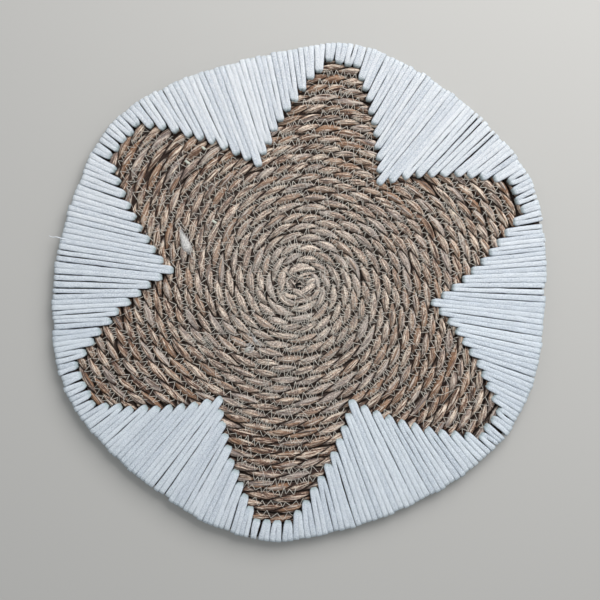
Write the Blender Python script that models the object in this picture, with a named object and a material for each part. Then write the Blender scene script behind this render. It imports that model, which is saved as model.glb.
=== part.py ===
"""Round placemat: a coiled seagrass base with white cotton cord sewn over its rim.

The base is one rope wound in a flat spiral. The cord grips the rim in long and
short stitches, so that the bare rope shows as a star with six points.

Units are metres and +Z is up. The mat lies on the plane z = 0, its outline is
centred on the origin, and +Y is the side that is at the top seen from above.
"""

from collections import namedtuple
from math import cos, pi, radians, sin

import bmesh
import bpy

# The rope and its coil
ROPE_TURNS = 24
ROPE_THICKNESS = 0.0074
GROOVE_DEPTH = 0.0022
ROPE_EDGE_DROP = 0.0007
COIL_COLUMNS = 32
COIL_CENTRE_SHIFT = (0.0004, 0.0031)

# The cotton cord sewn over the rim
CORD_THICKNESS = 0.0019
RIB_DEPTH = 0.0006
RIM_SHOULDER = 0.0022
RIM_DROP = 0.0026
END_SLOPE = 0.0008
END_ROUNDING = 0.0007

# The stitches, in pairs that share one hole
STEP_PAIRS = 9
SHORT_STITCH = 0.0165
FIRST_STEP = 0.0245
PAIR_WIDTH = 0.0062
SHORT_PAIR_WIDTH = 0.0079
FAN = 0.5

# Room between two pieces that touch
GAP = 0.0003

# One row for each wedge of cord. A star point lies at its start, the tip, and its
# longest stitch at the apex. Angles in degrees run counter-clockwise from +X. The
# rim's radius is given at the tip, halfway to the apex, at the apex, and halfway to
# the next tip. The apex reach is the radius at which the longest stitch ends.
Wedge = namedtuple(
    "Wedge",
    "tip_angle short_pairs tip_rim falling_rim apex_angle apex_reach apex_rim rising_rim",
)
WEDGES = (
    Wedge(23.2, 4, 0.1952, 0.1919, 53.4, 0.1006, 0.1896, 0.1902),
    Wedge(79.0, 4, 0.1915, 0.1825, 108.4, 0.0990, 0.1804, 0.1862),
    Wedge(139.9, 5, 0.1922, 0.1875, 171.7, 0.0990, 0.1879, 0.1912),
    Wedge(204.0, 5, 0.1964, 0.1919, 234.1, 0.1029, 0.1895, 0.1928),
    Wedge(263.2, 4, 0.1950, 0.1878, 294.7, 0.0934, 0.1858, 0.1892),
    Wedge(324.8, 4, 0.1936, 0.1924, 354.2, 0.1011, 0.1875, 0.1900),
)

FULL_TURN = 2 * pi
TOTAL_THICKNESS = ROPE_THICKNESS + 2 * (CORD_THICKNESS + GAP)
MIDDLE_HEIGHT = TOTAL_THICKNESS / 2

Material = namedtuple("Material", "name colour roughness")
SEAGRASS = Material("seagrass", (0.30, 0.21, 0.14, 1.0), 0.75)
COTTON = Material("cotton_yarn", (0.80, 0.82, 0.84, 1.0), 0.90)

# Where one pair of stitches meets the next: its angle at the inner end, which lies
# at the radius "depth", and its angle at the rim.
Edge = namedtuple("Edge", "inner rim depth")
Pair = namedtuple("Pair", "start end reach")


def rim_stations():
    """List the rim's angle and radius right round, four stations for each wedge."""
    stations = []
    for wedge, following in zip(WEDGES, WEDGES[1:] + WEDGES[:1]):
        tip = radians(wedge.tip_angle)
        apex = radians(wedge.apex_angle)
        next_tip = tip + (radians(following.tip_angle) - tip) % FULL_TURN
        stations.append((tip, wedge.tip_rim))
        stations.append(((tip + apex) / 2, wedge.falling_rim))
        stations.append((apex, wedge.apex_rim))
        stations.append(((apex + next_tip) / 2, wedge.rising_rim))
    return stations


RIM = rim_stations()
MEAN_RIM = sum(radius for _, radius in RIM) / len(RIM)


def rim_station(index):
    """Give a station by its number, which may run past either end of the list."""
    turns, position = divmod(index, len(RIM))
    angle, radius = RIM[position]
    return angle + turns * FULL_TURN, radius


def rim_slope(index):
    """Give the outline's slope at a station, from the stations beside it."""
    before, before_radius = rim_station(index - 1)
    after, after_radius = rim_station(index + 1)
    return (after_radius - before_radius) / (after - before)


def rim_radius(angle):
    """Give the radius of the mat's outline, a smooth curve through the stations."""
    angle = RIM[0][0] + (angle - RIM[0][0]) % FULL_TURN
    index = max(number for number in range(len(RIM)) if RIM[number][0] <= angle)
    start, start_radius = rim_station(index)
    end, end_radius = rim_station(index + 1)
    span = end - start
    share = (angle - start) / span
    rest = 1 - share
    blend = share * share * (3 - 2 * share)
    bow = share * rest * span * (rest * rim_slope(index) - share * rim_slope(index + 1))
    return start_radius + (end_radius - start_radius) * blend + bow


def outline_shift():
    """Give the shift that centres the outline's box on the origin."""
    samples = 720
    angles = [FULL_TURN * index / samples for index in range(samples)]
    across = [rim_radius(angle) * cos(angle) for angle in angles]
    along = [rim_radius(angle) * sin(angle) for angle in angles]
    return -(min(across) + max(across)) / 2, -(min(along) + max(along)) / 2


SHIFT_X, SHIFT_Y = outline_shift()


def place(radius, angle, height, offset=(0.0, 0.0)):
    """Turn a radius and angle about the outline's middle into a point."""
    x = SHIFT_X + offset[0] + radius * cos(angle)
    y = SHIFT_Y + offset[1] + radius * sin(angle)
    return x, y, height


def make_material(finish):
    """Make one plain material."""
    material = bpy.data.materials.new(finish.name)
    material.use_nodes = True
    shader = material.node_tree.nodes["Principled BSDF"]
    shader.inputs["Base Color"].default_value = finish.colour
    shader.inputs["Roughness"].default_value = finish.roughness
    shader.inputs["Metallic"].default_value = 0.0
    return material


def finish_object(name, shape, material, crease):
    """Turn a bmesh into a named object with its material."""
    bmesh.ops.recalc_face_normals(shape, faces=shape.faces)
    mesh = bpy.data.meshes.new(name)
    shape.to_mesh(mesh)
    shape.free()
    mesh.materials.append(material)
    mesh.shade_smooth()
    mesh.set_sharp_from_angle(angle=crease)
    piece = bpy.data.objects.new(name, mesh)
    bpy.context.scene.collection.objects.link(piece)
    return piece


def coil_radius(turn, angle):
    """Give the radius after some turns: round in the middle, the outline outside."""
    share = turn / ROPE_TURNS
    edge = rim_radius(angle) - CORD_THICKNESS - GAP
    round_edge = MEAN_RIM - CORD_THICKNESS - GAP
    return share * (round_edge + (edge - round_edge) * share**2)


def coil_profile(column):
    """List turn count and half thickness from the middle to the rim on one ray.

    Even entries are grooves and odd ones are the crests of the turns. The rope's
    end tapers off against the rim, over the last turn.
    """
    crest = ROPE_THICKNESS / 2
    groove = crest - GROOVE_DEPTH
    start = column / COIL_COLUMNS
    profile = []
    for index in range(2 * ROPE_TURNS - 1):
        profile.append((start + index / 2, crest if index % 2 else groove))
    last_groove = profile[-1][0]
    width = ROPE_TURNS - last_groove
    profile.append((last_groove + width / 2, groove + GROOVE_DEPTH * width))
    profile.append((ROPE_TURNS, crest - ROPE_EDGE_DROP))
    return profile


def coil_face_points(shape, side):
    """Add the points of the coil's upper (side 1) or lower (side -1) face."""
    columns = []
    for column in range(COIL_COLUMNS):
        angle = FULL_TURN * column / COIL_COLUMNS
        points = []
        for turn, half in coil_profile(column):
            inward = 1 - turn / ROPE_TURNS
            offset = (COIL_CENTRE_SHIFT[0] * inward, COIL_CENTRE_SHIFT[1] * inward)
            radius = coil_radius(turn, angle)
            height = MIDDLE_HEIGHT + side * half
            points.append(shape.verts.new(place(radius, angle, height, offset)))
        columns.append(points)
    return columns


def coil_face(shape, columns):
    """Skin one face of the coil. After a full turn, each crest meets the next one."""
    first = columns[0]
    last = columns[-1]
    rim = len(first) - 1
    middle = first[0]
    for near, far in zip(columns, columns[1:]):
        if near is not first:
            shape.faces.new((middle, near[0], far[0]))
        for index in range(rim):
            shape.faces.new((near[index], near[index + 1], far[index + 1], far[index]))
    shape.faces.new((middle, last[0], first[1]))
    shape.faces.new((last[0], first[2], first[1]))
    for index in range(rim - 2):
        shape.faces.new(
            (last[index], last[index + 1], first[index + 3], first[index + 2])
        )
    shape.faces.new((last[rim - 2], last[rim - 1], first[rim]))
    shape.faces.new((last[rim - 1], last[rim], first[rim]))


def build_coil(material):
    """Build the coiled base: a flat disc whose turns are raised on both faces."""
    shape = bmesh.new()
    upper = coil_face_points(shape, 1)
    lower = coil_face_points(shape, -1)
    coil_face(shape, upper)
    coil_face(shape, lower)
    for column in range(COIL_COLUMNS):
        after = (column + 1) % COIL_COLUMNS
        shape.faces.new(
            (upper[column][-1], lower[column][-1], lower[after][-1], upper[after][-1])
        )
    return finish_object("seagrass_coil", shape, material, radians(50))


def wedge_reaches(wedge, following):
    """List how near the middle each pair reaches, from one tip to the next."""
    reaches = [wedge.tip_rim - SHORT_STITCH] * wedge.short_pairs
    inward_first = wedge.tip_rim - FIRST_STEP
    outward_first = following.tip_rim - FIRST_STEP
    for step in range(STEP_PAIRS):
        share = step / STEP_PAIRS
        reaches.append(inward_first + (wedge.apex_reach - inward_first) * share)
    reaches.append(wedge.apex_reach)
    for step in reversed(range(STEP_PAIRS)):
        share = step / STEP_PAIRS
        reaches.append(outward_first + (wedge.apex_reach - outward_first) * share)
    return reaches


def spread_angles(widths, anchors):
    """Give the angle of each edge, so that tips and apexes keep their angles.

    The widths are those of the pairs. An anchor is the number of pairs before it,
    which may be half a pair, and its angle.
    """
    edges = [0.0]
    for width in widths:
        edges.append(edges[-1] + width)
    total = edges[-1]

    def travelled(count):
        whole = int(count)
        part = count - whole
        return edges[whole] + (part * widths[whole] if part else 0.0)

    marks = [(travelled(count), angle) for count, angle in anchors]
    marks.insert(0, (marks[-1][0] - total, marks[-1][1] - FULL_TURN))
    marks.append((marks[1][0] + total, marks[1][1] + FULL_TURN))
    angles = []
    for edge in edges:
        for (low, low_angle), (high, high_angle) in zip(marks, marks[1:]):
            if low <= edge <= high:
                share = (edge - low) / (high - low)
                angles.append(low_angle + (high_angle - low_angle) * share)
                break
    return angles


def stitch_pairs():
    """List the pairs of stitches of each wedge, right round the mat."""
    reaches = []
    widths = []
    anchors = []
    counts = []
    for wedge, following in zip(WEDGES, WEDGES[1:] + WEDGES[:1]):
        before = len(reaches)
        anchors.append((before + wedge.short_pairs / 2, radians(wedge.tip_angle)))
        apex = before + wedge.short_pairs + STEP_PAIRS
        anchors.append((apex + 0.5, radians(wedge.apex_angle)))
        own_reaches = wedge_reaches(wedge, following)
        for index, reach in enumerate(own_reaches):
            short = index < wedge.short_pairs
            widths.append((SHORT_PAIR_WIDTH if short else PAIR_WIDTH) / reach)
        reaches.extend(own_reaches)
        counts.append(len(own_reaches))
    inner = spread_angles(widths, anchors)
    rim = spread_angles([width**FAN for width in widths], anchors)
    edges = []
    for index in range(len(reaches) + 1):
        depth = min(reaches[index - 1], reaches[index % len(reaches)])
        edges.append(Edge(inner[index], rim[index], depth))
    pairs = []
    for index, reach in enumerate(reaches):
        pairs.append(Pair(edges[index], edges[index + 1], reach))
    wedges = []
    for count in counts:
        wedges.append(pairs[:count])
        pairs = pairs[count:]
    return wedges


def edge_angle(edge, radius):
    """Give an edge's angle at some radius: stitches fan out from hole to rim."""
    share = (radius - edge.depth) / (rim_radius(edge.rim) - edge.depth)
    return edge.inner + (edge.rim - edge.inner) * share


def cord_section(angle_at, reach, swell):
    """Give the ten points of one section across the cord layer, round the rim.

    The swell is 1 on the middle of a pair and 0 on its edges. The lower face
    stays flat, because the mat rests on it.
    """
    rim = rim_radius(angle_at(MEAN_RIM))
    sunk = RIB_DEPTH * (1 - swell)
    top = TOTAL_THICKNESS - sunk
    under_top = TOTAL_THICKNESS - CORD_THICKNESS
    wall = rim - CORD_THICKNESS
    reach = reach - END_ROUNDING * swell
    outline = (
        (reach + END_SLOPE, top),
        (rim - RIM_SHOULDER, top),
        (rim - sunk, TOTAL_THICKNESS - RIM_DROP),
        (rim - sunk, RIM_DROP),
        (rim - RIM_SHOULDER, 0.0),
        (reach + END_SLOPE, 0.0),
        (reach, CORD_THICKNESS),
        (wall, CORD_THICKNESS),
        (wall, under_top),
        (reach, under_top),
    )
    return [place(radius, angle_at(radius), height) for radius, height in outline]


def edge_section(edge, reach, side):
    """Give the section on a pair's edge, set half a gap to one side of it."""

    def angle_at(radius):
        return edge_angle(edge, radius) + side * GAP / 2 / radius

    return cord_section(angle_at, reach, 0.0)


def middle_section(pair):
    """Give the section along the middle of a pair."""

    def angle_at(radius):
        return (edge_angle(pair.start, radius) + edge_angle(pair.end, radius)) / 2

    return cord_section(angle_at, pair.reach, 1.0)


def wedge_sections(pairs):
    """List the sections of one length of cord, in order round the rim."""
    sections = [edge_section(pairs[0].start, pairs[0].reach, 1)]
    for pair, after in zip(pairs, pairs[1:] + [None]):
        sections.append(middle_section(pair))
        if after and after.reach == pair.reach:
            sections.append(edge_section(pair.end, pair.reach, 0))
            continue
        sections.append(edge_section(pair.end, pair.reach, -1))
        if after:
            sections.append(edge_section(pair.end, after.reach, 1))
    return sections


def close_cord_end(shape, ring):
    """Close one end of the cord layer: its two arms, and the bend at the rim."""
    end, shoulder, upper, lower, foot, low_end, low_in, low_wall, wall, inner = ring
    shape.faces.new((end, shoulder, wall, inner))
    shape.faces.new((shoulder, upper, wall))
    shape.faces.new((upper, lower, low_wall, wall))
    shape.faces.new((lower, foot, low_wall))
    shape.faces.new((foot, low_end, low_in, low_wall))


def build_edging(number, pairs, material):
    """Build one wedge's length of cord: it grips the rim from above and below."""
    shape = bmesh.new()
    rings = []
    for section in wedge_sections(pairs):
        rings.append([shape.verts.new(point) for point in section])
    for near, far in zip(rings, rings[1:]):
        for index in range(len(near)):
            after = (index + 1) % len(near)
            shape.faces.new((near[index], near[after], far[after], far[index]))
    close_cord_end(shape, rings[0])
    close_cord_end(shape, rings[-1])
    return finish_object(f"yarn_edging_{number}", shape, material, radians(50))


def main():
    """Clear the scene and build the mat."""
    for item in list(bpy.data.objects):
        bpy.data.objects.remove(item)
    build_coil(make_material(SEAGRASS))
    cotton = make_material(COTTON)
    for number, pairs in enumerate(stitch_pairs(), start=1):
        build_edging(number, pairs, cotton)


main()
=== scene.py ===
from collections import namedtuple
from math import pi, radians

import bmesh
import bpy
import numpy as np
from bpy.props import FloatProperty, FloatVectorProperty, IntProperty, PointerProperty
from mathutils import Matrix, Vector


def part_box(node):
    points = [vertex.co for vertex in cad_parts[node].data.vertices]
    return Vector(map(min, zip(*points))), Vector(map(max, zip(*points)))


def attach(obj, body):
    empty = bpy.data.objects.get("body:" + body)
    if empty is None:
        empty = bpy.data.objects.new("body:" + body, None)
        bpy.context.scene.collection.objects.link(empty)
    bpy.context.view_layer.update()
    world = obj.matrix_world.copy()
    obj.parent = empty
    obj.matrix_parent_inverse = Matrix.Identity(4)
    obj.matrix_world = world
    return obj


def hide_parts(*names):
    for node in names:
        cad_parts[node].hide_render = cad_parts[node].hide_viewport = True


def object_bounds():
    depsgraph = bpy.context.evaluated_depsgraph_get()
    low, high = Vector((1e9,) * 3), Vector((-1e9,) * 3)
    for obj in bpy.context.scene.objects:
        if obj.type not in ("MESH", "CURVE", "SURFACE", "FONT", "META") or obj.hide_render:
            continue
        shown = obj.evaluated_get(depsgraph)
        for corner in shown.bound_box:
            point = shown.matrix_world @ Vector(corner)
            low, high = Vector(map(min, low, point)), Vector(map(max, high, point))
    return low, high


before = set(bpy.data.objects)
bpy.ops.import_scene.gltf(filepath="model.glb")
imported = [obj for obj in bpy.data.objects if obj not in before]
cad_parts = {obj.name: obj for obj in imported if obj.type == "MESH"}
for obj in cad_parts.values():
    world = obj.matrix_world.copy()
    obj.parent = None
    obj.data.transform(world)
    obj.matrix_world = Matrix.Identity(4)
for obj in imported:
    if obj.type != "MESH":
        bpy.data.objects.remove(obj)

bl_info = {
    "name": "Star Placemat",
    "version": (1, 0, 0),
    "blender": (4, 5, 0),
    "location": "3D View > Sidebar > Placemat",
    "description": "A coiled seagrass placemat with cotton cord sewn over its rim",
    "category": "Object",
}

# The whole object and its base, as the frame gives them
CAD_LOW, CAD_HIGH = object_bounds()
COIL_LOW, COIL_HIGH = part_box("seagrass_coil")
MIDDLE_HEIGHT = (CAD_LOW[2] + CAD_HIGH[2]) / 2
TOTAL_THICKNESS = CAD_HIGH[2] - CAD_LOW[2]
ROPE_THICKNESS = COIL_HIGH[2] - COIL_LOW[2]
GAP = 0.0003
CORD_THICKNESS = (TOTAL_THICKNESS - ROPE_THICKNESS) / 2 - GAP
FULL_TURN = 2 * pi

# The coil
ROPE_TURNS = 24
COIL_CENTRE_SHIFT = (0.0004, 0.0031)
SPIRAL_POINTS = 30000

# The stitches, in pairs that share one hole
STEP_PAIRS = 9
SHORT_STITCH = 0.0165
FIRST_STEP = 0.0245
PAIR_WIDTH = 0.0062
SHORT_PAIR_WIDTH = 0.0079
FAN = 0.5
# Over how much of the star's edge the painted shade under the cord fades in
COVER_SHADE_FADE = 0.002

# One row for each wedge of cord. A star point lies at its start, the tip, and its
# longest stitch at the apex. Angles in degrees run counter-clockwise from +X. The
# rim's radius is given at the tip, halfway to the apex, at the apex, and halfway to
# the next tip. The apex reach is the radius at which the longest stitch ends.
Wedge = namedtuple(
    "Wedge",
    "tip_angle short_pairs tip_rim falling_rim apex_angle apex_reach apex_rim rising_rim",
)
WEDGES = (
    Wedge(23.2, 4, 0.1952, 0.1919, 53.4, 0.1006, 0.1896, 0.1902),
    Wedge(79.0, 4, 0.1915, 0.1825, 108.4, 0.0990, 0.1804, 0.1862),
    Wedge(139.9, 5, 0.1922, 0.1875, 171.7, 0.0990, 0.1879, 0.1912),
    Wedge(204.0, 5, 0.1964, 0.1919, 234.1, 0.1029, 0.1895, 0.1928),
    Wedge(263.2, 4, 0.1950, 0.1878, 294.7, 0.0934, 0.1858, 0.1892),
    Wedge(324.8, 4, 0.1936, 0.1924, 354.2, 0.1011, 0.1875, 0.1900),
)

# Where one pair of stitches meets the next: its angle at the inner end, which lies
# at the radius "depth", and its angle at the rim.
Edge = namedtuple("Edge", "inner rim depth")
Pair = namedtuple("Pair", "start end reach")


def rim_stations():
    """List the rim's angle and radius right round, four stations for each wedge."""
    stations = []
    for wedge, following in zip(WEDGES, WEDGES[1:] + WEDGES[:1]):
        tip = radians(wedge.tip_angle)
        apex = radians(wedge.apex_angle)
        next_tip = tip + (radians(following.tip_angle) - tip) % FULL_TURN
        stations.append((tip, wedge.tip_rim))
        stations.append(((tip + apex) / 2, wedge.falling_rim))
        stations.append((apex, wedge.apex_rim))
        stations.append(((apex + next_tip) / 2, wedge.rising_rim))
    return np.array(stations)


RIM_ANGLES, RIM_RADII = rim_stations().T
RIM_SLOPES = (np.roll(RIM_RADII, -1) - np.roll(RIM_RADII, 1)) / (
    (np.roll(RIM_ANGLES, -1) - np.roll(RIM_ANGLES, 1)) % FULL_TURN
)
MEAN_RIM = RIM_RADII.mean()


def rim_radius(angle):
    """Give the radius of the mat's outline, a smooth curve through the stations."""
    angle = RIM_ANGLES[0] + (np.asarray(angle) - RIM_ANGLES[0]) % FULL_TURN
    index = np.searchsorted(RIM_ANGLES, angle, side="right") - 1
    after = (index + 1) % len(RIM_ANGLES)
    span = (RIM_ANGLES[after] - RIM_ANGLES[index]) % FULL_TURN
    share = (angle - RIM_ANGLES[index]) / span
    rest = 1 - share
    blend = share * share * (3 - 2 * share)
    bow = share * rest * span * (rest * RIM_SLOPES[index] - share * RIM_SLOPES[after])
    return RIM_RADII[index] + (RIM_RADII[after] - RIM_RADII[index]) * blend + bow


def outline_shift():
    """Give the shift that centres the outline's box on the origin."""
    angles = np.arange(720) * FULL_TURN / 720
    across = rim_radius(angles) * np.cos(angles)
    along = rim_radius(angles) * np.sin(angles)
    return -(across.min() + across.max()) / 2, -(along.min() + along.max()) / 2


SHIFT_X, SHIFT_Y = outline_shift()


def plan_point(radius, angle):
    """Turn a radius and angle about the outline's middle into x and y."""
    return SHIFT_X + radius * np.cos(angle), SHIFT_Y + radius * np.sin(angle)


def coil_point(turn, angle):
    """Give x and y after some turns: round in the middle, the outline outside."""
    share = turn / ROPE_TURNS
    round_edge = MEAN_RIM - CORD_THICKNESS - GAP
    edge = rim_radius(angle) - CORD_THICKNESS - GAP
    radius = share * (round_edge + (edge - round_edge) * share**2)
    x, y = plan_point(radius, angle)
    return x + COIL_CENTRE_SHIFT[0] * (1 - share), y + COIL_CENTRE_SHIFT[1] * (1 - share)


def wedge_reaches(wedge, following):
    """List how near the middle each pair reaches, from one tip to the next."""
    reaches = [wedge.tip_rim - SHORT_STITCH] * wedge.short_pairs
    inward_first = wedge.tip_rim - FIRST_STEP
    outward_first = following.tip_rim - FIRST_STEP
    for step in range(STEP_PAIRS):
        share = step / STEP_PAIRS
        reaches.append(inward_first + (wedge.apex_reach - inward_first) * share)
    reaches.append(wedge.apex_reach)
    for step in reversed(range(STEP_PAIRS)):
        share = step / STEP_PAIRS
        reaches.append(outward_first + (wedge.apex_reach - outward_first) * share)
    return reaches


def spread_angles(widths, anchors):
    """Give the angle of each edge, so that tips and apexes keep their angles.

    The widths are those of the pairs. An anchor is the number of pairs before it,
    which may be half a pair, and its angle.
    """
    edges = np.concatenate(([0.0], np.cumsum(widths)))
    counts = [count for count, _ in anchors]
    marks = np.interp(counts, np.arange(len(edges)), edges)
    angles = np.array([angle for _, angle in anchors])
    marks = np.concatenate(([marks[-1] - edges[-1]], marks, [marks[0] + edges[-1]]))
    angles = np.concatenate(
        ([angles[-1] - FULL_TURN], angles, [angles[0] + FULL_TURN])
    )
    return np.interp(edges, marks, angles)


def stitch_pairs():
    """List the pairs of stitches of each wedge, right round the mat."""
    reaches = []
    widths = []
    anchors = []
    counts = []
    for wedge, following in zip(WEDGES, WEDGES[1:] + WEDGES[:1]):
        before = len(reaches)
        anchors.append((before + wedge.short_pairs / 2, radians(wedge.tip_angle)))
        apex = before + wedge.short_pairs + STEP_PAIRS
        anchors.append((apex + 0.5, radians(wedge.apex_angle)))
        own_reaches = wedge_reaches(wedge, following)
        for index, reach in enumerate(own_reaches):
            short = index < wedge.short_pairs
            widths.append((SHORT_PAIR_WIDTH if short else PAIR_WIDTH) / reach)
        reaches.extend(own_reaches)
        counts.append(len(own_reaches))
    inner = spread_angles(widths, anchors)
    rim = spread_angles([width**FAN for width in widths], anchors)
    edges = []
    for index in range(len(reaches) + 1):
        depth = min(reaches[index - 1], reaches[index % len(reaches)])
        edges.append(Edge(inner[index], rim[index], depth))
    pairs = []
    for index, reach in enumerate(reaches):
        pairs.append(Pair(edges[index], edges[index + 1], reach))
    wedges = []
    for count in counts:
        wedges.append(pairs[:count])
        pairs = pairs[count:]
    return wedges


PAIRS = stitch_pairs()


def edge_angle(edge, radius):
    """Give an edge's angle at some radius: stitches fan out from hole to rim."""
    share = (radius - edge.depth) / (rim_radius(edge.rim) - edge.depth)
    return edge.inner + (edge.rim - edge.inner) * share


def star_edge(x, y):
    """Tell how far each point lies inside the bare star, in metres towards the middle."""
    radius = np.hypot(x - SHIFT_X, y - SHIFT_Y)
    angle = np.arctan2(y - SHIFT_Y, x - SHIFT_X)
    flat = [pair for pairs in PAIRS for pair in pairs]
    starts = np.array([pair.start.inner for pair in flat])
    reaches = np.array([pair.reach for pair in flat])
    turned = starts[0] + (angle - starts[0]) % FULL_TURN
    index = np.searchsorted(starts, turned, side="right") - 1
    return reaches[index] - radius


def outside_cord_shade(x, y):
    """Tell how far the rope lies out of the cord's painted shade: 1 in the bare star and 0
    under the cord.
    """
    return np.clip(star_edge(x, y) / COVER_SHADE_FADE + 1.0, 0.0, 1.0)


def line_lengths(line):
    """Give the distance along a line at each of its points."""
    steps = np.linalg.norm(np.diff(line, axis=0), axis=1)
    return np.concatenate(([0.0], np.cumsum(steps)))


def line_points(places, lengths, line):
    """Give the points of a line at some distances along it."""
    return np.stack([np.interp(places, lengths, axis) for axis in line.T], axis=1)


def line_directions(line):
    """Give the direction of a line at each of its points."""
    along = np.gradient(line, axis=0)
    return along / np.linalg.norm(along, axis=1)[:, None]


def wander(rng, distances, spacing, size):
    """Give a smooth random curve along a length, with a new value at each spacing."""
    position = (distances - distances[0]) / spacing
    knots = rng.uniform(-size, size, int(position[-1]) + 3)
    index = position.astype(int)
    share = position - index
    share = share * share * (3 - 2 * share)
    return knots[index] * (1 - share) + knots[index + 1] * share


# Settings


def length_setting(name, description, default):
    """Define a setting that is a length."""
    return FloatProperty(name=name, description=description, default=default, unit="LENGTH")


def share_setting(name, description, default):
    """Define a setting that is a share of something."""
    return FloatProperty(
        name=name, description=description, default=default, subtype="FACTOR", min=0.0, max=1.5
    )


def colour_setting(name, description, default):
    """Define a setting that is a colour."""
    return FloatVectorProperty(
        name=name, description=description, default=default, subtype="COLOR", size=3
    )


class RopeSettings(bpy.types.PropertyGroup):
    """Sizes and colours of the seagrass rope."""

    lay: length_setting("Lay", "Length of one full twist", 0.031)
    ply_depth: length_setting("Ply depth", "Half thickness of a ply, across the rope", 0.0022)
    ply_width: length_setting("Ply width", "Half width of a ply", 0.0027)
    unevenness: share_setting("Unevenness", "How much the plies swell and shrink", 0.14)
    dark: colour_setting("Dark blades", "Darkest streaks", (0.066, 0.034, 0.026))
    mid: colour_setting("Brown blades", "Middle streaks", (0.238, 0.142, 0.098))
    pale: colour_setting("Straw blades", "Pale streaks", (0.425, 0.306, 0.236))


class CordSettings(bpy.types.PropertyGroup):
    """Sizes and colours of the cotton cord over the rim."""

    fullness: share_setting("Fullness", "Width of a cord, as a share of its room", 1.0)
    # The cord is painted bluer further down the mat, standing in for cooler light there
    colour: colour_setting("Cotton", "Cord at the top of the mat", (0.92, 0.94, 0.965))
    painted_blue_light: colour_setting("Bluish cotton", "Cord further down", (0.868, 0.925, 0.980))
    shade: colour_setting("Shaded cotton", "Streaks along a cord", (0.43, 0.50, 0.60))


class ThreadSettings(bpy.types.PropertyGroup):
    """Sizes and colour of the thread that sews the coil together."""

    stitch: length_setting("Stitch", "Length of one zigzag", 0.0056)
    reach: length_setting("Reach", "How far it reaches to each side of the groove", 0.0025)
    radius: length_setting("Radius", "Half thickness of the thread", 0.00017)
    colour: colour_setting("Thread", "Colour of the thread", (0.75, 0.71, 0.635))


class FibreSettings(bpy.types.PropertyGroup):
    """Loose fibres on the rope."""

    count: IntProperty(name="Count", description="Number of loose fibres", default=1500)
    colour: colour_setting("Fibre", "Colour of the fibres", (0.72, 0.68, 0.61))


class StageSettings(bpy.types.PropertyGroup):
    """Floor, light and camera."""

    frame_width: length_setting("Frame width", "What shows across, at mid height", 0.4606)
    camera_height: length_setting("Camera height", "Above the floor", 0.65)
    lamp_power: FloatProperty(
        name="Lamp power", description="Main soft light", default=19.7, unit="POWER"
    )
    fill_strength: FloatProperty(
        name="Fill", description="Strength of the light from all sides", default=0.55
    )
    floor: colour_setting("Floor", "Colour of the floor", (0.43, 0.420, 0.402))


# Materials

# Colours of the rope: its palest streaks, single grey and rusty blades, the splits
# between blades, the worn middle of the mat, and the painted shade where it lies deep
STRAW = (0.70, 0.59, 0.48)
GREY = (0.37, 0.33, 0.31)
RUST = (0.27, 0.145, 0.080)
SPLIT = (0.045, 0.026, 0.020)
BLEACHED = (0.63, 0.57, 0.51)
CREVICE_SHADE = (0.017, 0.008, 0.006)
# Colours of painted shade on the cord: at its hole and rim ends, and in the groove between two
# cords
CORD_END_SHADE = (0.36, 0.46, 0.47)
CORD_GROOVE_SHADE = (0.15, 0.20, 0.27)


def new_material(name, roughness, specular, sheen=0.0):
    """Make a material without a colour and return it with its tree."""
    material = bpy.data.materials.new(name)
    material.use_nodes = True
    shader = material.node_tree.nodes["Principled BSDF"]
    shader.inputs["Roughness"].default_value = roughness
    shader.inputs["Specular IOR Level"].default_value = specular
    shader.inputs["Sheen Weight"].default_value = sheen
    return material, material.node_tree


def finish_material(material, colour, layers=()):
    """Give a material its colour and its bump layers: height, distance and strength."""
    tree = material.node_tree
    shader = tree.nodes["Principled BSDF"]
    tree.links.new(colour, shader.inputs["Base Color"])
    last = None
    for height, distance, strength in layers:
        node = tree.nodes.new("ShaderNodeBump")
        node.inputs["Distance"].default_value = distance
        node.inputs["Strength"].default_value = strength
        tree.links.new(height, node.inputs["Height"])
        if last:
            tree.links.new(last, node.inputs["Normal"])
        last = node.outputs["Normal"]
    if last:
        tree.links.new(last, shader.inputs["Normal"])
    return material


def attribute_node(tree, name, output):
    """Read one of the piece's own attributes."""
    node = tree.nodes.new("ShaderNodeAttribute")
    node.attribute_name = name
    return node.outputs[output]


def place_node(tree):
    """Read the place on the piece."""
    return tree.nodes.new("ShaderNodeTexCoord").outputs["Object"]


def noise_node(tree, vector, scale, detail):
    """Add noise and return its value. The scale is one number or one for each axis."""
    mapping = tree.nodes.new("ShaderNodeMapping")
    mapping.inputs["Scale"].default_value = np.broadcast_to(scale, 3)
    tree.links.new(vector, mapping.inputs["Vector"])
    noise = tree.nodes.new("ShaderNodeTexNoise")
    noise.inputs["Scale"].default_value = 1.0
    noise.inputs["Detail"].default_value = detail
    tree.links.new(mapping.outputs["Vector"], noise.inputs["Vector"])
    return noise.outputs["Fac"]


def math_node(tree, operation, first, second):
    """Combine two values, each a socket or a number."""
    node = tree.nodes.new("ShaderNodeMath")
    node.operation = operation
    for socket, value in zip(node.inputs, (first, second)):
        if isinstance(value, bpy.types.NodeSocket):
            tree.links.new(value, socket)
        else:
            socket.default_value = value
    return node.outputs["Value"]


def sum_node(tree, *terms):
    """Add up values, each multiplied by its weight."""
    total = 0.0
    for weight, value in terms:
        total = math_node(tree, "ADD", math_node(tree, "MULTIPLY", value, weight), total)
    return total


def ramp_node(tree, value, stops):
    """Turn a value into a colour through a list of (position, colour) stops."""
    node = tree.nodes.new("ShaderNodeValToRGB")
    ramp = node.color_ramp
    while len(ramp.elements) < len(stops):
        ramp.elements.new(0.5)
    for element, (position, colour) in zip(ramp.elements, stops):
        element.position = position
        element.color = (*colour, 1.0)
    tree.links.new(value, node.inputs["Fac"])
    return node.outputs["Color"]


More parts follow.
